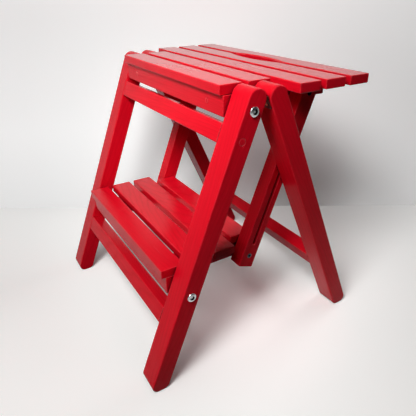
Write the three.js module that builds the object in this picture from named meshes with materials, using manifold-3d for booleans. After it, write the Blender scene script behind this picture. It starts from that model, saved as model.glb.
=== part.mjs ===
// A folding step stool chair in painted wood: a slatted seat over a slatted step, carried by
// front legs that lean back and rear legs that lean forward, joined at their tops by butt
// hinges. Slotted links tie the seat's rear to the step's rear, and a pin on each rear leg
// rides in a slot, so that lifting the seat's rear folds everything flat.
// Millimetres. +Z is up, the front faces -Y, and the stool's right side is +X. The origin is
// on the floor under the middle of the stool's bounding box.
import * as THREE from "three";
import { mergeVertices } from "three/addons/utils/BufferGeometryUtils.js";
import Module from "manifold-3d";

const wasm = await Module();
wasm.setup();

// Overall sizes
const seat_height = 450;
const step_height = 190.5;
const frame_width = 420;
const front_lean_deg = 21.15;
const rear_lean_deg = 24.4;

// Legs
const leg_width = 39;
const leg_depth = 29.5;
const foot_radius = 11;
const leg_arris = 1.8;

// Slats
const slat_width = 38;
const slat_thickness = 14;
const slat_arris = 1.3;
const slat_end_arris = 0.9;
const seat_slat_gap = 10;
const step_slat_gap = 9.5;
const seat_front_overhang = 5.9;
const step_front_overhang = 7;
const wide_slat_overhang = 6.2;
const narrow_slat_to_leg = 5.3;
const step_slat_to_leg = 4.8;
const short_slat_to_link = 1.7;

// Bars under the slats
const bar_height = 30;
const bar_arris = 1.4;
const bar_end_arris = 0.9;
const cross_bar_depth = 38.5;
const cross_bar_to_leg = 4.5;
const side_bar_width = 23;
const side_bar_to_link = 6.9;
const side_bar_setback = 5.5;

// Rails between the legs: the front ones lie below the pivots, and the rear one is placed up
// its leg from the floor.
const rail_height = 27.8;
const rail_depth = 24;
const rail_arris = 1.5;
const rail_inset = 0.4;
const rail_below_step_pivot = 56.5;
const rail_below_seat_pivot = 41.5;
const rear_rail_up = 114.5;
const tenon_shoulder = 6;
const tenon_length = 22;

// Dowels through the front legs into the upper rail
const dowel_radius = 5;
const dowel_grip = 20;
const dowel_chamfer = 0.4;

// Links, each with a blind slot in its outer face
const link_spacing = 136;
const link_thickness = 26;
const link_depth = 29.2;
const link_to_leg = 2.4;
const link_tail = 21.5;
const link_arris = 1.4;
const link_tail_radius = 1.8;
const slot_width = 6;
const slot_depth = 15;
const slot_start = 23.5;

// Hand-hold between the last two seat slats
const handhold_half_length = 68;
const handhold_notch = 11;
const handhold_chamfer = 2;

// Butt hinges
const hinge_length = 33;
const leaf_thickness = 1.3;
const leaf_reach = 17;
const leaf_parting = 0.1;
const knuckle_radius = 2.4;
const hinge_pin_radius = 1.2;
const hinge_pin_head_radius = 1.9;
const hinge_pin_head_length = 0.9;
const leaf_screw_spacing = 18;
const leaf_screw_reach = 10.5;
const leaf_screw = { radius: 1.5, head_radius: 2.8, length: 15, slot: 0.7, slot_depth: 0.6 };

// Screws through the cross bars into the side bars, filled and painted over
const bar_screw = { radius: 2.2, head_radius: 3.6, length: 58 };

// Pivot bolts, each through a front leg and a washer into a cross bar's end
const pivot_bolt = {
  radius: 3, head_radius: 7.1, head_height: 3, rim: 0.8, socket_radius: 3.7, socket_depth: 2.4,
};
const pivot_bolt_grip = 30;
const washer_radius = 7.5;

// Link bolts, each through a link and a spacer into a side bar
const link_bolt = {
  radius: 2.5, head_radius: 4.2, head_height: 3.4, rim: 2.9, socket_radius: 2.1, socket_depth: 2,
};
const link_bolt_proud = 0.6;
const link_bolt_grip = 16;
const spacer_radius = 6.5;

// Guide pins, fixed in the rear legs
const guide_pin_radius = 2.7;
const guide_collar_radius = 5.5;

// Clearances and mesh detail
const touch_gap = 0.3;
const bore_gap = 0.2;
const cut_overrun = 3;
const same_point = 0.001;
const round_steps = 8;
const corner_steps = 3;
const arris_steps = 3;
const dome_steps = 5;
const notch_steps = 16;
const bolt_sides = 32;
const screw_sides = 16;
const hex_sides = 6;

const rad = THREE.MathUtils.degToRad;
const quarter_turn = Math.PI / 2;
const x_axis = new THREE.Vector3(1, 0, 0);
const y_axis = new THREE.Vector3(0, 1, 0);

// Materials
const finish = (color, roughness, metalness) =>
  new THREE.MeshStandardMaterial({ color, roughness, metalness });
const frame_paint = finish(0xc0122a, 0.34, 0);
const slat_paint = finish(0xcf2038, 0.3, 0);
const nickel = finish(0xc4c7ca, 0.25, 1);
const brass = finish(0xc8a048, 0.3, 1);

// Directions in the side view, as [y, z]: along is up the leg, back is from its front face to
// its rear face.
const leg_axes = (lean) => ({
  along: new THREE.Vector2(Math.sin(lean), Math.cos(lean)),
  back: new THREE.Vector2(Math.cos(lean), -Math.sin(lean)),
});
const front_lean = rad(front_lean_deg);
const front_axes = leg_axes(front_lean);
const rear_axes = leg_axes(-rad(rear_lean_deg));

// Places across the width
const leg_outer_x = frame_width / 2;
const leg_inner_x = leg_outer_x - leg_width;
const leg_middle_x = leg_outer_x - leg_width / 2;
const link_outer_x = leg_inner_x - link_to_leg;
const link_inner_x = link_outer_x - link_thickness;
const side_bar_outer_x = link_inner_x - side_bar_to_link;
const side_bar_inner_x = side_bar_outer_x - side_bar_width;
const cross_bar_end_x = leg_inner_x - cross_bar_to_leg;
const narrow_slat_end_x = leg_inner_x - narrow_slat_to_leg;
const wide_slat_end_x = leg_outer_x + wide_slat_overhang;
const step_slat_end_x = leg_inner_x - step_slat_to_leg;
const short_slat_end_x = link_inner_x - short_slat_to_link;

// The hinge axis and, from it, both feet. A leaf lies on each leg, so the axis is one leaf,
// the gap under it and half the parting off each leg's face. It is as low as its knuckles
// clear the legs' half-round tops.
const leg_middle = leg_depth / 2;
const hinge_offset = touch_gap + leaf_thickness + leaf_parting;
const axis_to_middle = leg_middle + hinge_offset;
const knuckle_rise = Math.sqrt((leg_middle + knuckle_radius + touch_gap) ** 2 - axis_to_middle ** 2);
const hinge_rise = Math.max(...[front_axes, rear_axes].map((axes) =>
  knuckle_rise * axes.along.y - axis_to_middle * Math.abs(axes.back.y)));
const hinge_z = seat_height - leg_middle + hinge_rise;
const foot_from_hinge = (axes, d) => (d - hinge_z * axes.back.y) / axes.back.x;
const foot_spacing =
  foot_from_hinge(front_axes, leg_depth + hinge_offset) - foot_from_hinge(rear_axes, -hinge_offset);
const front_toe = foot_radius * (1 - front_axes.back.y) / front_axes.back.x - foot_radius;
const rear_heel_inset = leg_depth - foot_radius * (1 + rear_axes.back.y);
const rear_heel = foot_spacing + rear_heel_inset / rear_axes.back.x + foot_radius;
const front_foot_y = -(front_toe + rear_heel) / 2;

// A leg's own places: s up the leg from the floor corner of its front face, d back from that
// face, as a [y, z] point.
const leg_frame = (foot_y, axes) => ({
  ...axes,
  at: (s, d) => new THREE.Vector2(foot_y, 0).addScaledVector(axes.along, s).addScaledVector(axes.back, d),
  up: (z, d) => (z - d * axes.back.y) / axes.along.y,
});
const front = leg_frame(front_foot_y, front_axes);
const rear = leg_frame(front_foot_y + foot_spacing, rear_axes);

// Pivots, as [y, z] points
const pivot_up = (top) => front.up(top - slat_thickness - bar_height / 2, leg_middle);
const deck_pivot = (top) => front.at(pivot_up(top), leg_middle);
const behind = (pivot) => new THREE.Vector2(pivot.x + link_spacing, pivot.y);
const seat_pivot = deck_pivot(seat_height);
const step_pivot = deck_pivot(step_height);
const link_top = behind(seat_pivot);
const link_foot = behind(step_pivot);
const link_length = link_top.distanceTo(link_foot);
const hinge_axis = front.at(front.up(hinge_z, leg_depth + hinge_offset), leg_depth + hinge_offset);

// A guide pin sits where the middle lines of a link and a rear leg cross.
const cross = (a, b) => a.x * b.y - a.y * b.x;
const to_rear_leg = rear.at(0, leg_middle).sub(link_foot);
const guide_pin_up = cross(to_rear_leg, rear.along) / cross(front.along, rear.along);
const on_link = (up) => link_foot.clone().addScaledVector(front.along, up);
const guide_pin = on_link(guide_pin_up);

// An outline from [point, radius, steps] corners, each rounded by its radius.
function outline(corners) {
  const points = [];
  corners.forEach(([at, radius, steps = corner_steps], i) => {
    const before = corners.at(i - 1)[0];
    const after = corners[(i + 1) % corners.length][0];
    const to_before = before.clone().sub(at).normalize();
    const to_after = after.clone().sub(at).normalize();
    const half_angle = Math.acos(to_before.dot(to_after)) / 2;
    const bisector = to_before.clone().add(to_after).normalize();
    const centre = at.clone().addScaledVector(bisector, radius / Math.sin(half_angle));
    const swing = quarter_turn - half_angle;
    const inward = bisector.clone().negate();
    const sense = Math.sign(cross(to_after, to_before));
    const turns = radius > 0 ? steps : 0;
    for (let step = 0; step <= turns; step += 1) {
      const angle = turns > 0 ? swing * sense * (2 * step / turns - 1) : 0;
      const point = centre.clone().add(inward.clone().rotateAround(new THREE.Vector2(), angle)
        .multiplyScalar(radius));
      const last = points.at(-1);
      if (!last || last.distanceTo(point) > same_point) {
        points.push(point);
      }
    }
  });
  return new THREE.Shape(points);
}

// A rectangle about a middle point, w wide along one direction and h along the other.
function block(middle, w, h, radius, { along, back } = upright) {
  const corner = (u, v) => middle.clone().addScaledVector(back, u * w / 2).addScaledVector(along, v * h / 2);
  const turns = [[-1, -1], [1, -1], [1, 1], [-1, 1]];
  return outline(turns.map(([u, v]) => [corner(u, v), radius]));
}
const upright = leg_axes(0);

// Geometry to solid and back
function solid(geometry) {
  const bare = geometry.clone();
  bare.deleteAttribute("normal");
  bare.deleteAttribute("uv");
  const merged = mergeVertices(bare);
  const index = merged.index.array;
  const triangles = [];
  for (let i = 0; i < index.length; i += 3) {
    const [a, b, c] = index.slice(i, i + 3);
    if (a !== b && b !== c && c !== a) {
      triangles.push(a, b, c);
    }
  }
  return new wasm.Manifold(new wasm.Mesh({
    numProp: 3,
    vertProperties: new Float32Array(merged.attributes.position.array),
    triVerts: new Uint32Array(triangles),
  }));
}

function mesh_of(body) {
  const { vertProperties, triVerts } = body.getMesh();
  const geometry = new THREE.BufferGeometry();
  geometry.setAttribute("position", new THREE.BufferAttribute(new Float32Array(vertProperties), 3));
  geometry.setIndex(new THREE.BufferAttribute(new Uint32Array(triVerts), 1));
  geometry.computeVertexNormals();
  return geometry;
}

// An outline drawn in the side view, run across the width from x0 to x1, with its end edges
// rounded by the arris.
const side_view = new THREE.Matrix4().makeBasis(y_axis, new THREE.Vector3(0, 0, 1), x_axis);
function across(shape, x0, x1, arris = 0) {
  const geometry = new THREE.ExtrudeGeometry(shape, {
    depth: x1 - x0 - 2 * arris,
    bevelEnabled: arris > 0,
    bevelThickness: arris,
    bevelSize: arris,
    bevelOffset: -arris,
    bevelSegments: arris_steps,
  });
  geometry.translate(0, 0, x0 + arris);
  geometry.applyMatrix4(side_view);
  return solid(geometry);
}

// A turned body from [distance, radius] pairs along a direction from an origin.
function turned(profile, origin, direction, sides = bolt_sides) {
  const points = profile.map(([distance, radius]) => new THREE.Vector2(radius, distance));
  const geometry = new THREE.LatheGeometry(points, sides);
  geometry.applyQuaternion(new THREE.Quaternion().setFromUnitVectors(y_axis, direction));
  geometry.translate(origin.x, origin.y, origin.z);
  return solid(geometry);
}

// A turned body on an axis across the width, its distances being x values.
const on_axis = (profile, at, sides) => turned(profile, new THREE.Vector3(0, at.x, at.y), x_axis, sides);
const rod = (x0, x1, radius, at, sides) => on_axis([[x0, 0], [x0, radius], [x1, radius], [x1, 0]], at, sides);
const ring = (x0, x1, outer, inner, at) =>
  rod(x0, x1, outer, at).subtract(rod(x0 - cut_overrun, x1 + cut_overrun, inner, at));

// The assembly
const stool = new THREE.Group();
stool.name = "folding_step_stool";
function add(name, body, material) {
  const mesh = new THREE.Mesh(mesh_of(body), material);
  mesh.name = name;
  stool.add(mesh);
}
function add_pair(name, body, material) {
  add(`${name}_right`, body, material);
  add(`${name}_left`, body.mirror([1, 0, 0]), material);
}

// A domed bolt with a hex socket: its shank starts at tip_x and its head's seat is at seat_x.
function bolt(spec, tip_x, seat_x, at) {
  const dome = Array.from({ length: dome_steps + 1 }, (_, i) => {
    const angle = quarter_turn * i / dome_steps;
    const rise = (spec.head_height - spec.rim) * Math.sin(angle);
    return [seat_x + spec.rim + rise, spec.head_radius * Math.cos(angle)];
  });
  dome.at(-1)[1] = 0;
  const shank = [[tip_x, 0], [tip_x, spec.radius], [seat_x, spec.radius], [seat_x, spec.head_radius]];
  const top_x = seat_x + spec.head_height;
  const socket = rod(top_x - spec.socket_depth, top_x + cut_overrun, spec.socket_radius, at, hex_sides);
  return on_axis([...shank, ...dome], at).subtract(socket);
}
const bolt_bore = (spec, tip_x, end_x, at) =>
  rod(tip_x - touch_gap, end_x + cut_overrun, spec.radius + bore_gap, at);

// A countersunk screw: its head's face at the origin, pointing along the direction.
function screw(spec, origin, direction, gap = 0) {
  const radius = spec.radius + gap;
  const head = spec.head_radius + gap;
  const head_depth = spec.head_radius - spec.radius;
  const face = gap > 0 ? [[-cut_overrun, 0], [-cut_overrun, head], [0, head]] : [[0, 0], [0, head]];
  const shank = [[head_depth, radius], [spec.length + gap, radius], [spec.length + gap, 0]];
  return turned([...face, ...shank], origin, direction, screw_sides);
}

// Legs: floor corners rounded, tops half round and level with the seat
function leg(frame) {
  const top = frame.up(seat_height - leg_middle, leg_middle) + leg_middle;
  return across(outline([
    [frame.at(0, 0), foot_radius, round_steps],
    [frame.at(frame.up(0, leg_depth), leg_depth), foot_radius, round_steps],
    [frame.at(top, leg_depth), leg_middle, round_steps],
    [frame.at(top, 0), leg_middle, round_steps],
  ]), leg_inner_x, leg_outer_x, leg_arris);
}

// A rail on tenons, and the mortise that takes a tenon
const front_upper_rail_up = pivot_up(seat_height) - rail_below_seat_pivot;
const front_lower_rail_up = pivot_up(step_height) - rail_below_step_pivot;
const rail_section = (frame, up, trim = 0) =>
  block(frame.at(up, rail_inset + rail_depth / 2), rail_depth - trim, rail_height - trim,
    trim > 0 ? 0 : rail_arris, frame);
const rail_end_x = leg_inner_x - touch_gap;
const tenon_end_x = leg_inner_x + tenon_length;
const rail = (frame, up) => across(rail_section(frame, up), -rail_end_x, rail_end_x);
const tenon = (frame, up, gap = 0) =>
  across(rail_section(frame, up, 2 * (tenon_shoulder - gap)), -tenon_end_x - gap, tenon_end_x + gap);
const mortise_gap = touch_gap / 2;

// Hinges: the front leaf carries two knuckles and the pin, the rear leaf the middle knuckle.
const hinge_start_x = leg_middle_x - hinge_length / 2;
const knuckle_length = hinge_length / 3;
const knuckle_xs = [0, 1, 2].map((i) => {
  const start = hinge_start_x + i * knuckle_length;
  return [start + touch_gap / 2, start + knuckle_length - touch_gap / 2];
});
const knuckle = ([x0, x1], gap = 0) => rod(x0 - gap, x1 + gap, knuckle_radius + gap, hinge_axis);
const [inner_xs, middle_xs, outer_xs] = knuckle_xs;
const leaf_axis_up = (frame) => hinge_axis.clone().sub(frame.at(0, 0)).dot(frame.along);
const leaf_screw_xs = [-1, 1].map((end) => leg_middle_x + end * leaf_screw_spacing / 2);
function leaf_parts(frame, face_d, outward) {
  const up = leaf_axis_up(frame);
  const plate_d = face_d + outward * (touch_gap + leaf_thickness / 2);
  const plate_middle = frame.at(up - leaf_reach / 2, plate_d);
  const plate = across(block(plate_middle, leaf_thickness, leaf_reach, 0, frame),
    hinge_start_x, hinge_start_x + hinge_length);
  const seat = frame.at(up - leaf_screw_reach, face_d + outward * (touch_gap + leaf_thickness));
  const inward = frame.back.clone().multiplyScalar(-outward);
  const direction = new THREE.Vector3(0, inward.x, inward.y);
  const screws = leaf_screw_xs.map((x) => {
    const origin = new THREE.Vector3(x, seat.x, seat.y);
    const slot = new THREE.BoxGeometry(2 * leaf_screw.head_radius, leaf_screw.slot, 2 * leaf_screw.slot_depth);
    slot.applyQuaternion(new THREE.Quaternion().setFromUnitVectors(new THREE.Vector3(0, 0, 1), direction));
    slot.translate(origin.x, origin.y, origin.z);
    return screw(leaf_screw, origin, direction).subtract(solid(slot));
  });
  const bores = leaf_screw_xs.map((x) =>
    screw(leaf_screw, new THREE.Vector3(x, seat.x, seat.y), direction, bore_gap));
  return { plate, screws, bores };
}
const cut_all = (body, cutters) => cutters.reduce((left, cutter) => left.subtract(cutter), body);
const front_leaf = leaf_parts(front, leg_depth, 1);
const rear_leaf = leaf_parts(rear, 0, -1);
const pin_head = (x, end) => {
  const tip = x + end * hinge_pin_head_length;
  return rod(Math.min(x, tip), Math.max(x, tip), hinge_pin_head_radius, hinge_axis);
};
const pin_rod = (gap) =>
  rod(inner_xs[0] - gap, outer_xs[1] + gap, hinge_pin_radius + gap, hinge_axis);
const front_leaf_body = cut_all(front_leaf.plate, [knuckle(middle_xs, touch_gap), ...front_leaf.bores])
  .add(knuckle(inner_xs)).add(knuckle(outer_xs)).add(pin_rod(0))
  .add(pin_head(inner_xs[0], -1)).add(pin_head(outer_xs[1], 1));
const rear_leaf_body = cut_all(rear_leaf.plate.add(knuckle(middle_xs)), [
  knuckle(inner_xs, touch_gap), knuckle(outer_xs, touch_gap), pin_rod(bore_gap), ...rear_leaf.bores,
]);

// Front frame
const dowel_at = front.at(front_upper_rail_up, rail_inset + rail_depth / 2);
const dowel_start_x = rail_end_x - dowel_grip;
const dowel_body = on_axis([
  [dowel_start_x, 0], [dowel_start_x, dowel_radius], [leg_outer_x - dowel_chamfer, dowel_radius],
  [leg_outer_x, dowel_radius - dowel_chamfer], [leg_outer_x, 0],
], dowel_at);
const dowel_bore = rod(dowel_start_x - touch_gap, leg_outer_x + cut_overrun, dowel_radius + bore_gap, dowel_at);
const pivot_tip_x = cross_bar_end_x - pivot_bolt_grip;
const pivot_bore = (at) => bolt_bore(pivot_bolt, pivot_tip_x, leg_outer_x, at);
const front_lower_mortise = tenon(front, front_lower_rail_up, mortise_gap);
const rear_mortise = tenon(rear, rear_rail_up, mortise_gap);

add_pair("front_leg", cut_all(leg(front), [
  front_lower_mortise, dowel_bore, pivot_bore(seat_pivot), pivot_bore(step_pivot), ...front_leaf.bores,
]), frame_paint);
add("front_upper_rail", cut_all(rail(front, front_upper_rail_up), [
  dowel_bore, dowel_bore.mirror([1, 0, 0]),
]), frame_paint);
add("front_lower_rail", rail(front, front_lower_rail_up).add(tenon(front, front_lower_rail_up)), frame_paint);
add_pair("upper_rail_dowel", dowel_body, frame_paint);
add_pair("hinge_front_leaf", front_leaf_body, brass);
front_leaf.screws.forEach((body, i) => add_pair(`hinge_front_screw_${i + 1}`, body, brass));

// Rear frame
add_pair("rear_leg", cut_all(leg(rear), [rear_mortise, ...rear_leaf.bores]), frame_paint);
add("rear_rail", rail(rear, rear_rail_up).add(tenon(rear, rear_rail_up)), frame_paint);
add_pair("hinge_rear_leaf", rear_leaf_body, brass);
rear_leaf.screws.forEach((body, i) => add_pair(`hinge_rear_screw_${i + 1}`, body, brass));

// Link bolts, shared by both decks
const link_tip_x = side_bar_outer_x - link_bolt_grip;
const link_seat_x = link_outer_x + link_bolt_proud - link_bolt.head_height;
const link_bore = (at) => bolt_bore(link_bolt, link_tip_x, link_outer_x, at);
const link_counterbore = (at) =>
  rod(link_seat_x - touch_gap, link_outer_x + cut_overrun, link_bolt.head_radius + bore_gap, at);

// A deck: slats on a cross bar and two side bars, with its pivot bolts and link bolts
function deck(name, top, pivot, overhang, gap, ends, trim_slat) {
  const front_y = pivot.x - cross_bar_depth / 2 - overhang;
  const slat_z = top - slat_thickness / 2;
  const slat_y = (i) => front_y + i * (slat_width + gap) + slat_width / 2;
  const last_y = slat_y(ends.length - 1) + slat_width / 2;
  ends.forEach((end_x, i) => {
    const section = block(new THREE.Vector2(slat_y(i), slat_z), slat_width, slat_thickness, slat_arris);
    const body = across(section, -end_x, end_x, slat_end_arris);
    add(`${name}_slat_${i + 1}`, trim_slat ? trim_slat(body, i, slat_y) : body, slat_paint);
  });

  const bar_top = pivot.y + bar_height / 2 - touch_gap;
  const bar_low = pivot.y - bar_height / 2;
  const bar_section = (y0, y1) =>
    block(new THREE.Vector2((y0 + y1) / 2, (bar_top + bar_low) / 2), y1 - y0, bar_top - bar_low, bar_arris);
  const cross_bar_y = pivot.x - cross_bar_depth / 2;
  const cross_bar_back = cross_bar_y + cross_bar_depth;
  const side_bar = across(bar_section(cross_bar_back + touch_gap, last_y - side_bar_setback),
    side_bar_inner_x, side_bar_outer_x, bar_end_arris);
  const screw_at = new THREE.Vector3((side_bar_inner_x + side_bar_outer_x) / 2, cross_bar_y, pivot.y);
  const screw_bore = screw(bar_screw, screw_at, y_axis, bore_gap);
  const cross_bar = across(bar_section(cross_bar_y, cross_bar_back), -cross_bar_end_x, cross_bar_end_x,
    bar_end_arris);
  const right_cuts = [pivot_bore(pivot), screw_bore];
  const left_cuts = right_cuts.map((cut) => cut.mirror([1, 0, 0]));
  add(`${name}_cross_bar`, cut_all(cross_bar, [...right_cuts, ...left_cuts]), slat_paint);
  add_pair(`${name}_side_bar`, cut_all(side_bar, [screw_bore, link_bore(behind(pivot))]), slat_paint);
  add_pair(`${name}_bar_screw`, screw(bar_screw, screw_at, y_axis), slat_paint);

  add_pair(`${name}_pivot_bolt`, bolt(pivot_bolt, pivot_tip_x, leg_outer_x + touch_gap, pivot), nickel);
  add_pair(`${name}_pivot_washer`, ring(cross_bar_end_x + touch_gap, leg_inner_x - touch_gap,
    washer_radius, pivot_bolt.radius + bore_gap, pivot), nickel);
  add_pair(`${name}_link_bolt`, bolt(link_bolt, link_tip_x, link_seat_x, behind(pivot)), nickel);
  add_pair(`${name}_link_spacer`, ring(side_bar_outer_x + touch_gap, link_inner_x - touch_gap,
    spacer_radius, link_bolt.radius + bore_gap, behind(pivot)), nickel);
}

// The hand-hold is a lens between the last two seat slats, with a chamfer on its upper edge.
const seat_ends = [narrow_slat_end_x, narrow_slat_end_x, wide_slat_end_x, wide_slat_end_x, wide_slat_end_x];
const step_ends = [step_slat_end_x, step_slat_end_x, step_slat_end_x, short_slat_end_x];
const notch_radius = (handhold_half_length ** 2 + handhold_notch ** 2) / (2 * handhold_notch);
const notch_angle = Math.asin(handhold_half_length / notch_radius);
function handhold(front_edge, rear_edge) {
  const edge = (base, bulge) => Array.from({ length: notch_steps + 1 }, (_, i) => {
    const angle = notch_angle * (2 * i / notch_steps - 1);
    const rise = notch_radius * (Math.cos(angle) - Math.cos(notch_angle));
    return new THREE.Vector2(-bulge * notch_radius * Math.sin(angle), base + bulge * rise);
  });
  const shape = new THREE.Shape([...edge(front_edge, -1), ...edge(rear_edge, 1)]);
  const hole = new THREE.ExtrudeGeometry(shape, {
    depth: slat_thickness + 2 * cut_overrun,
    bevelEnabled: false,
  });
  hole.translate(0, 0, seat_height - slat_thickness - cut_overrun);
  const flare = new THREE.ExtrudeGeometry(shape, {
    depth: cut_overrun,
    bevelThickness: handhold_chamfer,
    bevelSize: handhold_chamfer,
    bevelSegments: 1,
  });
  flare.translate(0, 0, seat_height);
  return solid(hole).add(solid(flare));
}
const handhold_slats = [seat_ends.length - 2, seat_ends.length - 1];
function trim_for_hand(body, i, slat_y) {
  const [before, after] = handhold_slats;
  if (!handhold_slats.includes(i)) {
    return body;
  }
  return body.subtract(handhold(slat_y(before) + slat_width / 2, slat_y(after) - slat_width / 2));
}
deck("seat", seat_height, seat_pivot, seat_front_overhang, seat_slat_gap, seat_ends, trim_for_hand);
deck("step", step_height, step_pivot, step_front_overhang, step_slat_gap, step_ends);

// Links: square tail, half-round top, and the slot that ends where the guide pin stops
const link_half = link_depth / 2;
const on_link_side = (up, side) => on_link(up).addScaledVector(front.back, side * link_half);
const link_shape = outline([
  [on_link_side(-link_tail, -1), link_tail_radius],
  [on_link_side(-link_tail, 1), link_tail_radius],
  [on_link_side(link_length + link_half, 1), link_half, round_steps],
  [on_link_side(link_length + link_half, -1), link_half, round_steps],
]);
const slot_half = slot_width / 2;
const slot_low = slot_start - slot_half;
const slot_high = guide_pin_up + slot_half;
const slot_side = (up, side) => on_link(up).addScaledVector(front.back, side * slot_half);
const slot_shape = outline([
  [slot_side(slot_low, -1), slot_half, round_steps],
  [slot_side(slot_low, 1), slot_half, round_steps],
  [slot_side(slot_high, 1), slot_half, round_steps],
  [slot_side(slot_high, -1), slot_half, round_steps],
]);
const slot_floor_x = link_outer_x - slot_depth;
add_pair("link", cut_all(across(link_shape, link_inner_x, link_outer_x, link_arris), [
  across(slot_shape, slot_floor_x, link_outer_x + cut_overrun),
  link_bore(link_top), link_bore(link_foot), link_counterbore(link_top), link_counterbore(link_foot),
]), frame_paint);

// Guide pins: a pin in the slot, and a collar in the gap between link and leg
const collar_x = link_outer_x + touch_gap;
const pin_start_x = slot_floor_x + touch_gap;
const pin_end_x = leg_inner_x - touch_gap;
add_pair("guide_pin", on_axis([
  [pin_start_x, 0], [pin_start_x, guide_pin_radius], [collar_x, guide_pin_radius],
  [collar_x, guide_collar_radius], [pin_end_x, guide_collar_radius], [pin_end_x, 0],
], guide_pin), nickel);

export default stool;
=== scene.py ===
import math
import random

import bpy
from mathutils import Matrix, Vector

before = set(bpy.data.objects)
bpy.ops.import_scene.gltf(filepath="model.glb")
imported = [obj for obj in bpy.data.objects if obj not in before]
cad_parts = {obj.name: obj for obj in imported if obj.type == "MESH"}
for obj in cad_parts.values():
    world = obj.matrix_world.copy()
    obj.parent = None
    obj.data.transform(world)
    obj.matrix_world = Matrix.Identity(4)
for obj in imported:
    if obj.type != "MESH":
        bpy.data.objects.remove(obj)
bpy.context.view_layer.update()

scene = bpy.context.scene
scene.view_settings.view_transform = "Standard"

X = Vector((1, 0, 0))
Y = Vector((0, 1, 0))
Z = Vector((0, 0, 1))


def lean(degrees):
    """The direction of a board's length and its broad face's normal, at a lean in degrees."""
    angle = math.radians(degrees)
    return Vector((0, math.sin(angle), math.cos(angle))), Vector((0, -math.cos(angle), math.sin(angle)))


# The photograph's camera: place in metres, angles in degrees, width and focal length in pixels
CAMERA_AT = (0.6343, -0.3676, 0.5646)
CAMERA_YAW = 58.57
CAMERA_DOWN = 27.905
CAMERA_ROLL = -0.48
CAMERA_FOCAL = 419.46
PHOTO_WIDTH = 416
SENSOR_WIDTH = 36

# Paint colours, linear
RED = (0.70, 0.0038, 0.016)
RED_FAINT = tuple(0.88 * c for c in RED)
RED_DEEP = (0.50, 0.0022, 0.007)
# Lighter red for rubbed edges, which is also a painted highlight along the arrises
RED_WORN_AND_HIGHLIGHT = (0.98, 0.16, 0.17)
# Painted shade: near black, for crevices and for a bolt that sits in shadow
PAINTED_SHADE_BLACK = (0.02, 0.0005, 0.0005)
SHINE_TINT = (0.1, 0.1, 0.1, 1)

# Paint finishes: specular level on broad faces, least roughness, how far that varies, relief
FRAME_PAINT = (0.10, 0.12, 1.0, 0.10)
SEAT_PAINT = (0.60, 0.11, 0.1, 0.003)
STEP_PAINT = (0.42, 0.12, 1.0, 0.10)
EDGE_SHINE = 0.10

# Marks in wood and paint: length along the grain and width in metres, noise detail, roughness
FIBRE = (0.09, 0.0011, 3, 0.6)
PORE = (0.02, 0.00055, 2, 0.6)
STREAK = (0.30, 0.009, 2, 0.5)
CLOUD = (0.12, 0.05, 2, 0.5)
BRUSH = (0.15, 0.0022, 2, 0.5)
WOBBLE = (0.10, 0.02, 2, 0.5)
NOISE_MIDDLE = 0.5
GRAIN_OFFSET = 3

# Growth rings, in metres: spacing, wander, slope along the board, and where the pith may lie
RING_SPACING = 0.0052
RING_WANDER = 0.010
RING_SLOPE = (0.08, 0.16)
PITH_DEPTH = (0.012, 0.035)
PITH_SIDE = 0.012

# What the marks do to the colour: a value's range, and the range that it becomes
LATE_WOOD = (0.35, 1.0, 0.0, 1.0)
LATE_IN_CLOUD = (0.35, 0.6, 0.5, 1.0)
TONE = (0.32, 0.68, 0.0, 1.0)
FIBRE_DEPTH = (0.48, 0.70, 0.0, 0.5)
# Edges: rubbed paint together with a painted highlight, from how far the rounded normal turns
EDGE_WEAR_AND_HIGHLIGHT = (0.985, 0.90, 0.0, 0.6)
BRUSH_EDGE_VARIATION = (0.35, 0.6, 0.3, 1.0)
# Painted shade in crevices, from how open the surface is
CREVICE_SHADE_FADE = (0.22, 0.5, 0.0, 1.0)
LATE_SHINE = (0.0, 1.0, 1.0, 0.3)
BROAD_FACE = (0.5, 0.9)
STREAK_TONE = 0.55
CLOUD_TONE = 0.45
LATE_DEPTH = 0.8

# Reaches of the edge wear with its painted highlight and of the painted crevice shade, in metres, with
# their samples
EDGE_REACH = 0.0016
EDGE_SAMPLES = 6
CREVICE_SHADE_REACH = 0.012
CREVICE_SHADE_SAMPLES = 8

# What the marks do to the relief and to the roughness
FIBRE_RELIEF = 0.5
PORE_RELIEF = 0.25
RING_RELIEF = 0.18
BRUSH_RELIEF = 0.35
PAINT_RELIEF = 0.0010
BRUSH_ROUGHNESS = 0.10
CLOUD_ROUGHNESS = 0.12

# Painted pieces: the start of a node's name, its grain's direction, its broad face's normal,
# how strongly its rings show, and its finish
FRONT_ALONG, FRONT_FACE = lean(21.15)
REAR_ALONG, REAR_FACE = lean(-24.4)
PAINTED = (
    ("front_leg", FRONT_ALONG, FRONT_FACE, 0.5, FRAME_PAINT),
    ("link", FRONT_ALONG, FRONT_FACE, 0.5, FRAME_PAINT),
    ("rear_leg", REAR_ALONG, REAR_FACE, 0.5, FRAME_PAINT),
    ("front_upper_rail", X, FRONT_FACE, 0.5, FRAME_PAINT),
    ("front_lower_rail", X, FRONT_FACE, 0.5, FRAME_PAINT),
    ("rear_rail", X, REAR_FACE, 0.5, FRAME_PAINT),
    ("seat_slat", X, Z, 0.12, SEAT_PAINT),
    ("step_slat_1", X, Z, 0.30, STEP_PAINT),
    ("step_slat_4", X, Z, 0.50, STEP_PAINT),
    ("step_slat", X, Z, 0.85, STEP_PAINT),
    ("seat_cross_bar", X, Y, 0.4, FRAME_PAINT),
    ("step_cross_bar", X, Y, 0.4, FRAME_PAINT),
    ("seat_side_bar", Y, X, 0.4, FRAME_PAINT),
    ("step_side_bar", Y, X, 0.4, FRAME_PAINT),
    ("seat_bar_screw", X, Y, 0.2, FRAME_PAINT),
    ("step_bar_screw", X, Y, 0.2, FRAME_PAINT),
    ("upper_rail_dowel", Y, X, 0.3, FRAME_PAINT),
)

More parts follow.
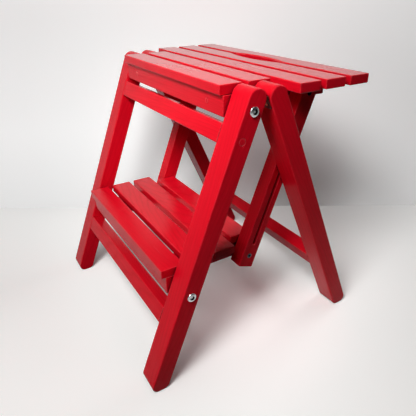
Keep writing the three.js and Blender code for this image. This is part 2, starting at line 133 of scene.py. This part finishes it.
# Metals: colour, tarnish, least roughness, depth of scratches, metallic, specular level
BRIGHT_NICKEL = ((0.74, 0.75, 0.77), (0.50, 0.52, 0.55), 0.16, 0.12, 1.0, 0.5)
# Nickel darkened partly as painted shade, for a link bolt that sits in shadow
SHADE_DARKENED_NICKEL = ((0.06, 0.066, 0.078), (0.03, 0.033, 0.04), 0.16, 0.12, 1.0, 0.5)
# Near black as painted shade, for a bolt that sits in the seat's shadow
SHADOW_BLACK_BOLT = (PAINTED_SHADE_BLACK, PAINTED_SHADE_BLACK, 0.16, 0.12, 0.0, 0.0)
STAINED_LEAF = ((0.11, 0.016, 0.010), (0.05, 0.005, 0.004), 0.40, 0.15, 0.0, 0.15)
BRASS = ((0.62, 0.48, 0.26), (0.40, 0.28, 0.13), 0.22, 0.15, 1.0, 0.5)
# Painted shade for the bolts' recesses
PAINTED_RECESS_SHADE = (0.012, 0.012, 0.014)

# Marks on metal: noise scales, how they roughen it, where tarnish starts, depth of scratches
TURNING_SCALE = 2600
PATCH_SCALE = 240
SCRATCH_SCALE = (300, 5200, 900)
SCRATCH_NOISE = (1, 2, 0.5)
METAL_DETAIL = (3, 0.6)
TURNING_ROUGHNESS = 0.06
PATCH_ROUGHNESS = 0.16
TARNISH = (0.42, 0.66, 0.0, 1.0)
SCRATCH_RELIEF = 0.0002

# Bolts: a part of a node's name, its metal, and the inner and outer radius in metres of the painted
# shade in its recess
OFF_BOLT_AXIS = (0, 1, 1)
RECESS_EDGE = 0.0004
BOLTS = (
    ("pivot_bolt", BRIGHT_NICKEL, (0.0015, 0.0039)),
    ("step_link_bolt", SHADE_DARKENED_NICKEL, (-0.001, 0.0023)),
    ("seat_link_bolt", SHADOW_BLACK_BOLT, (-0.001, 0.0023)),
)

# The room, in metres: the wall's foot, its direction outwards and the one that it runs in
ROOM_SIZE = 6
WALL_HEIGHT = 3
WALL_FOOT = Vector((-0.2827533, 0.19524482, 0))
WALL_NORMAL = Vector((0.85228, -0.52309, 0))
WALL_RUN = Vector((0.52309, 0.85228, 0))

# The room's colours, how mottled they are, and how much of them the bounced light has
FLOOR_COLOUR = (0.97, 0.965, 0.95)
WALL_COLOUR = (0.97, 0.97, 0.965)
MOTTLE = 0.97
MOTTLE_NOISE = (6, 2, 0.5)
BOUNCE = 0.06
MATT_ROUGHNESS = 0.5

# The room's paleness that the camera and reflections see: an even base, then painted light added to the
# left, near the wall or by height
LEFT = (-0.40, 0.10, 1.0, 0.0)
NEAR_WALL = (0.05, 0.40, 1.0, 0.0)
FLOOR_LIFT = 0.075
FLOOR_LEFT_LIFT = 0.13
WALL_LIFT = 0.235
WALL_LEFT_LIFT = (0.22, 0.50, 0.13, -0.07)

# Painted red light on the floor, for what the wood throws there: its middle, how it fades with distance,
# colour
PAINTED_RED_LIGHT_AT = (0.16, 0.01, 0)
PAINTED_RED_LIGHT_FADE = (0.05, 0.20, 1.0, 0.0)
PAINTED_RED_LIGHT = (0.10, 0.042, 0.045)

# A painted shadow of the stool on the wall: its middle, how it fades with distance, depth
SHADE_AT = (-0.151, 0.410, 0.11)
SHADE_FADE = (0.06, 0.25, 1.0, 0.0)
SHADE = 0.13

# Lamps: name, place, what it looks at, size in metres or cone in degrees, power in watts
SEAT = (0.1, -0.05, 0.42)
MIDDLE = (0, 0, 0.25)
SOFT_BOXES = (
    ("key_high", (0.58, -0.65, 1.25), SEAT, 0.35, 4.5),
    ("key_front", (0.43, -0.65, 1.0), SEAT, 0.30, 3.7),
    ("key_right", (0.52, -0.52, 1.0), SEAT, 0.30, 1.8),
    ("front", (-0.05, -1.4, 0.5), MIDDLE, 0.5, 1.8),
    ("left", (-0.676, -1.171, 0.612), MIDDLE, 0.5, 0.8),
    ("back", (0, 0.9, 1.322), MIDDLE, 0.5, 2.5),
    ("behind", (-0.1, 1.5, 0.45), MIDDLE, 0.6, 5.5),
    ("top", (0.1, 0.1, 1.4), MIDDLE, 0.5, 1.3),
)
SOFT_SPOTS = (
    ("near_corner", (0.25, -0.36, 0.79), (0.08, -0.12, 0.44), 60, 5.2),
    ("near_right", (0.40, -0.48, 0.95), (0.10, -0.10, 0.44), 42, 5.0),
    ("near_front", (0.10, -0.55, 0.80), (-0.12, -0.14, 0.38), 48, 6.0),
    ("rear_foot", (0.45, -0.45, 0.13), (0.21, 0.2, 0.05), 24, 9.0),
)
SPOT_RADIUS = 0.12
SPOT_BLEND = 1.0
WORLD_COLOUR = (1, 1, 1, 1)
WORLD_STRENGTH = (0.0, 1.0, 0.02, 0.9)


def add_camera():
    data = bpy.data.cameras.new("photo_camera")
    data.sensor_width = SENSOR_WIDTH
    data.lens = CAMERA_FOCAL / PHOTO_WIDTH * SENSOR_WIDTH
    camera = bpy.data.objects.new("photo_camera", data)
    yaw = math.radians(CAMERA_YAW)
    down = math.radians(CAMERA_DOWN)
    roll = math.radians(CAMERA_ROLL)
    level_right = Vector((math.cos(yaw), math.sin(yaw), 0))
    ahead = Vector((-math.sin(yaw) * math.cos(down), math.cos(yaw) * math.cos(down), -math.sin(down)))
    level_up = level_right.cross(ahead)
    right = math.cos(roll) * level_right + math.sin(roll) * level_up
    up = math.cos(roll) * level_up - math.sin(roll) * level_right
    turn = Matrix((right, up, -ahead)).transposed()
    camera.matrix_world = Matrix.Translation(CAMERA_AT) @ turn.to_4x4()
    scene.collection.objects.link(camera)
    scene.camera = camera


class Tree:
    """A material's or world's nodes, added by type and wired as they are made."""

    def __init__(self, owner):
        owner.use_nodes = True
        self.nodes = owner.node_tree.nodes
        self.links = owner.node_tree.links
        self.nodes.clear()

    def add(self, kind, wires=(), **settings):
        node = self.nodes.new(kind)
        for name, value in settings.items():
            setattr(node, name, value)
        for socket, value in dict(wires).items():
            target = node.inputs[socket]
            if isinstance(value, bpy.types.NodeSocket):
                self.links.new(value, target)
            else:
                target.default_value = value
        return node

    def math(self, operation, *values):
        return self.add("ShaderNodeMath", enumerate(values), operation=operation).outputs[0]

    def plus(self, first, second):
        return self.math("ADD", first, second)

    def minus(self, first, second):
        return self.math("SUBTRACT", first, second)

    def times(self, first, second):
        return self.math("MULTIPLY", first, second)

    def weigh(self, *pairs):
        """The sum of some values, each times its weight."""
        total, *rest = (self.times(value, weight) for value, weight in pairs)
        for part in rest:
            total = self.plus(total, part)
        return total

    def vector(self, operation, *values):
        node = self.add("ShaderNodeVectorMath", enumerate(values), operation=operation)
        return node.outputs["Vector"]

    def measure(self, operation, *values):
        node = self.add("ShaderNodeVectorMath", enumerate(values), operation=operation)
        return node.outputs["Value"]

    def dot(self, vector, axis):
        return self.measure("DOT_PRODUCT", vector, tuple(axis))

    def join(self, x, y, z):
        return self.add("ShaderNodeCombineXYZ", {"X": x, "Y": y, "Z": z}).outputs[0]

    def noise(self, vector, scale, detail, roughness):
        wires = {"Vector": vector, "Scale": scale, "Detail": detail, "Roughness": roughness}
        return self.add("ShaderNodeTexNoise", wires).outputs["Fac"]

    def remap(self, value, low, high, to_low, to_high):
        wires = {"Value": value, "From Min": low, "From Max": high, "To Min": to_low, "To Max": to_high}
        return self.add("ShaderNodeMapRange", wires).outputs["Result"]

    def mix(self, factor, first, second):
        """Two colours, through a Mix node's sockets for colours: the inputs 6 and 7, output 2."""
        node = self.add("ShaderNodeMix", {"Factor": factor}, data_type="RGBA")
        for socket, value in ((6, first), (7, second)):
            if isinstance(value, bpy.types.NodeSocket):
                self.links.new(value, node.inputs[socket])
            else:
                node.inputs[socket].default_value = (*value, 1)
        return node.outputs[2]

    def coordinates(self):
        return self.add("ShaderNodeTexCoord").outputs

    def rays(self):
        return self.add("ShaderNodeLightPath").outputs

    def bump(self, height, strength, distance, **wires):
        wires = {"Height": height, "Strength": strength, "Distance": distance, **wires}
        return self.add("ShaderNodeBump", wires).outputs[0]

    def surface(self, shader):
        self.add("ShaderNodeOutputMaterial", {"Surface": shader})


def new_material(name):
    material = bpy.data.materials.new(name)
    return material, Tree(material)


def growth_rings(tree, pick, where, along, side, face, wobble):
    """Rings that are cylinders round a pith off the board, sloping a little along it, so that
    they print arches on the broad face and lines on the edges."""
    slope = pick.uniform(*RING_SLOPE) * pick.choice((-1, 1))
    pith_depth = pick.uniform(*PITH_DEPTH) * pick.choice((-1, 1))
    pith_side = pick.uniform(-PITH_SIDE, PITH_SIDE)
    depth = tree.plus(tree.dot(where, face), tree.times(tree.dot(where, along), slope))
    from_pith = tree.join(tree.minus(tree.dot(where, side), pith_side), tree.minus(depth, pith_depth), 0)
    radius = tree.measure("LENGTH", from_pith)
    wander = tree.times(tree.minus(wobble, NOISE_MIDDLE), RING_WANDER)
    turns = tree.times(tree.plus(radius, wander), 2 * math.pi / RING_SPACING)
    return tree.remap(tree.math("SINE", turns), *LATE_WOOD)


def painted_wood(name, along, face, seed, rings, paint):
    """Red paint over a plain-sawn board: fibres, pores, clouds and growth rings that show
    through it, brush marks, rubbed edges with a painted highlight, and painted shade in crevices."""
    shine, least_roughness, varying, relief = paint
    pick = random.Random(seed)
    material, tree = new_material(name)
    side = along.cross(face)
    coordinates = tree.coordinates()
    where = coordinates["Object"]
    offsets = [tree.plus(tree.dot(where, axis), pick.uniform(-GRAIN_OFFSET, GRAIN_OFFSET))
               for axis in (along, side, face)]
    grain = tree.join(*offsets)

    def mark(length, width, detail, roughness):
        stretched = tree.vector("MULTIPLY", grain, (1 / length, 1 / width, 1 / width))
        return tree.noise(stretched, 1, detail, roughness)

    fibre = mark(*FIBRE)
    pore = mark(*PORE)
    streak = mark(*STREAK)
    cloud = mark(*CLOUD)
    brush = mark(*BRUSH)
    ring = growth_rings(tree, pick, where, along, side, face, mark(*WOBBLE))
    late = tree.times(tree.times(ring, rings), tree.remap(cloud, *LATE_IN_CLOUD))

    rounded = tree.add("ShaderNodeBevel", {"Radius": EDGE_REACH}, samples=EDGE_SAMPLES).outputs[0]
    flat = tree.add("ShaderNodeNewGeometry").outputs["Normal"]
    turned = tree.measure("DOT_PRODUCT", rounded, flat)
    # Painted highlight with wear along the edges, broken up by the brush marks
    worn_and_highlit = tree.times(tree.remap(turned, *EDGE_WEAR_AND_HIGHLIGHT), tree.remap(brush, *BRUSH_EDGE_VARIATION))
    # Painted shade: the colour goes near black in crevices, and the shine drops there
    crevice_occlusion = tree.add("ShaderNodeAmbientOcclusion", {"Distance": CREVICE_SHADE_REACH}, samples=CREVICE_SHADE_SAMPLES)
    crevice_unshaded = tree.remap(crevice_occlusion.outputs["AO"], *CREVICE_SHADE_FADE)

    tone = tree.weigh((streak, STREAK_TONE), (cloud, CLOUD_TONE))
    colour = tree.mix(tree.remap(tone, *TONE), RED, RED_FAINT)
    colour = tree.mix(tree.times(late, LATE_DEPTH), colour, RED_DEEP)
    colour = tree.mix(tree.remap(fibre, *FIBRE_DEPTH), colour, RED_DEEP)
    colour = tree.mix(worn_and_highlit, colour, RED_WORN_AND_HIGHLIGHT)
    colour = tree.mix(crevice_unshaded, PAINTED_SHADE_BLACK, colour)

    broad = tree.math("ABSOLUTE", tree.dot(coordinates["Normal"], face))
    level = tree.remap(broad, *BROAD_FACE, EDGE_SHINE, shine)
    level = tree.times(tree.times(level, tree.remap(late, *LATE_SHINE)), crevice_unshaded)

    height = tree.weigh((fibre, FIBRE_RELIEF), (pore, PORE_RELIEF), (ring, RING_RELIEF * rings),
                        (brush, BRUSH_RELIEF))
    roughness = tree.weigh((brush, BRUSH_ROUGHNESS * varying), (cloud, CLOUD_ROUGHNESS * varying))
    shader = tree.add("ShaderNodeBsdfPrincipled", {
        "Base Color": colour,
        "Roughness": tree.plus(roughness, least_roughness),
        "Normal": tree.bump(height, relief, PAINT_RELIEF, Normal=rounded),
        "Specular IOR Level": level,
        "Specular Tint": SHINE_TINT,
    })
    tree.surface(shader.outputs[0])
    return material


def metal(name, kind, recess=None):
    """Metal with fine turning marks, a few scratches, and dull patches. A recess is painted shade:
    a dark ring round an axis across the stool, from (centre, inner radius, outer radius)."""
    colour, tarnish, least_roughness, scratches, metallic, shine = kind
    material, tree = new_material(name)
    where = tree.coordinates()["Object"]
    turning = tree.noise(where, TURNING_SCALE, *METAL_DETAIL)
    patch = tree.noise(where, PATCH_SCALE, *METAL_DETAIL)
    scratch = tree.noise(tree.vector("MULTIPLY", where, SCRATCH_SCALE), *SCRATCH_NOISE)
    roughness = tree.weigh((turning, TURNING_ROUGHNESS), (patch, PATCH_ROUGHNESS))
    shade = tree.mix(tree.remap(patch, *TARNISH), colour, tarnish)
    # Painted shade: a dark ring or disc in the bolt's recess
    if recess:
        centre, inner, outer = recess
        arm = tree.vector("MULTIPLY", tree.vector("SUBTRACT", where, centre), OFF_BOLT_AXIS)
        radius = tree.measure("LENGTH", arm)
        past_inner = tree.remap(radius, inner, inner + RECESS_EDGE, 0.0, 1.0)
        before_outer = tree.remap(radius, outer - RECESS_EDGE, outer, 1.0, 0.0)
        shade = tree.mix(tree.times(past_inner, before_outer), shade, PAINTED_RECESS_SHADE)
    shader = tree.add("ShaderNodeBsdfPrincipled", {
        "Base Color": shade,
        "Roughness": tree.plus(roughness, least_roughness),
        "Normal": tree.bump(scratch, scratches, SCRATCH_RELIEF),
        "Metallic": metallic,
        "Specular IOR Level": shine,
    })
    tree.surface(shader.outputs[0])
    return material


def bolt_metal(name, thing):
    _, kind, radii = next(bolt for bolt in BOLTS if bolt[0] in name)
    corners = [Vector(corner) for corner in thing.bound_box]
    centre = sum(corners, Vector()) / len(corners)
    return metal("nickel_" + name, kind, (tuple(centre), *radii))


def dress():
    nickel = metal("nickel", BRIGHT_NICKEL)
    leaf = metal("hinge_brass", STAINED_LEAF)
    brass = metal("screw_brass", BRASS)
    for seed, (name, thing) in enumerate(sorted(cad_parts.items())):
        row = next((row for row in PAINTED if name.startswith(row[0])), None)
        if row:
            _, along, face, rings, paint = row
            material = painted_wood("paint_" + name, along, face, seed, rings, paint)
        elif name.startswith("hinge"):
            material = brass if "screw" in name else leaf
        elif "bolt" in name:
            material = bolt_metal(name, thing)
        else:
            material = nickel
        thing.data.materials.clear()
        thing.data.materials.append(material)


def left_side(tree, where):
    return tree.remap(tree.dot(where, WALL_RUN), *LEFT)


# Painted light: the floor lighter to the left, near the wall's foot
def floor_lift(tree, where):
    out = tree.dot(tree.vector("SUBTRACT", where, tuple(WALL_FOOT)), WALL_NORMAL)
    near_wall = tree.remap(out, *NEAR_WALL)
    left = tree.times(left_side(tree, where), FLOOR_LEFT_LIFT)
    return tree.plus(FLOOR_LIFT, tree.times(near_wall, left))


# Painted light and shade on the wall: on the left lighter low down and darker higher up, with a painted
# shadow of the stool
def wall_lift(tree, where):
    height = tree.add("ShaderNodeSeparateXYZ", {"Vector": where}).outputs["Z"]
    left = tree.times(left_side(tree, where), tree.remap(height, *WALL_LEFT_LIFT))
    shade = tree.remap(tree.measure("DISTANCE", where, SHADE_AT), *SHADE_FADE)
    return tree.minus(tree.plus(WALL_LIFT, left), tree.times(SHADE, shade))


def matt(name, colour, lift, one_sided=False):
    """A matt backdrop. The camera and reflections see it at its full paleness, with a lift of
    its own that holds painted light and a painted shadow, and painted red light from the wood,
    while the light that bounces off it is that of a duller one.
    A one-sided backdrop is clear from behind and lets the lamps behind it through."""
    material, tree = new_material(name)
    where = tree.coordinates()["Object"]
    mottle = tree.noise(where, *MOTTLE_NOISE)
    shade = tree.mix(mottle, colour, tuple(MOTTLE * c for c in colour))
    rays = tree.rays()
    seen = tree.math("MAXIMUM", rays["Is Camera Ray"], rays["Is Glossy Ray"])
    seen = tree.math("MAXIMUM", seen, rays["Is Transmission Ray"])
    shade = tree.mix(seen, tuple(BOUNCE * c for c in colour), shade)
    wires = {"Color": shade, "Roughness": MATT_ROUGHNESS}
    shader = tree.add("ShaderNodeBsdfDiffuse", wires).outputs[0]
    # Painted light: a red glow near the stool, and the lift with its painted light and shade
    painted_red_light = tree.remap(tree.measure("DISTANCE", where, PAINTED_RED_LIGHT_AT), *PAINTED_RED_LIGHT_FADE)
    for tint, strength in ((colour, lift(tree, where)), (PAINTED_RED_LIGHT, painted_red_light)):
        wires = {"Color": (*tint, 1), "Strength": tree.times(seen, strength)}
        glow = tree.add("ShaderNodeEmission", wires).outputs[0]
        shader = tree.add("ShaderNodeAddShader", {0: shader, 1: glow}).outputs[0]
    if one_sided:
        clear = tree.add("ShaderNodeBsdfTransparent").outputs[0]
        behind = tree.add("ShaderNodeNewGeometry").outputs["Backfacing"]
        open_side = tree.math("MAXIMUM", behind, rays["Is Shadow Ray"])
        shader = tree.add("ShaderNodeMixShader", {0: open_side, 1: shader, 2: clear}).outputs[0]
    tree.surface(shader)
    return material


def plane(name, middle, across, along, material):
    """A rectangle that reaches half its size across, and half its size along, from its middle."""
    corners = [middle - across - along, middle + across - along,
               middle + across + along, middle - across + along]
    mesh = bpy.data.meshes.new(name)
    mesh.from_pydata(corners, [], [tuple(range(len(corners)))])
    thing = bpy.data.objects.new(name, mesh)
    thing.data.materials.append(material)
    scene.collection.objects.link(thing)


def add_room():
    pale = matt("floor_pale", FLOOR_COLOUR, floor_lift)
    plane("floor", Vector(), X * ROOM_SIZE, Y * ROOM_SIZE, pale)
    wall = matt("wall_pale", WALL_COLOUR, wall_lift, one_sided=True)
    up = Z * (WALL_HEIGHT / 2)
    plane("wall", WALL_FOOT + up, WALL_RUN * ROOM_SIZE, up, wall)


def place_light(data, at, aim, power):
    data.energy = power
    thing = bpy.data.objects.new(data.name, data)
    direction = Vector(aim) - Vector(at)
    turn = direction.to_track_quat("-Z", "Y").to_matrix().to_4x4()
    thing.matrix_world = Matrix.Translation(at) @ turn
    scene.collection.objects.link(thing)


def add_light():
    for name, at, aim, size, power in SOFT_BOXES:
        data = bpy.data.lights.new(name, "AREA")
        data.size = size
        place_light(data, at, aim, power)
    for name, at, aim, cone, power in SOFT_SPOTS:
        data = bpy.data.lights.new(name, "SPOT")
        data.spot_size = math.radians(cone)
        data.spot_blend = SPOT_BLEND
        data.shadow_soft_size = SPOT_RADIUS
        place_light(data, at, aim, power)
    world = bpy.data.worlds.new("studio")
    scene.world = world
    tree = Tree(world)
    rays = tree.rays()
    seen = tree.math("MAXIMUM", rays["Is Camera Ray"], rays["Is Transmission Ray"])
    wires = {"Color": WORLD_COLOUR, "Strength": tree.remap(seen, *WORLD_STRENGTH)}
    shader = tree.add("ShaderNodeBackground", wires).outputs[0]
    tree.add("ShaderNodeOutputWorld", {"Surface": shader})


add_camera()
dress()
add_room()
add_light()
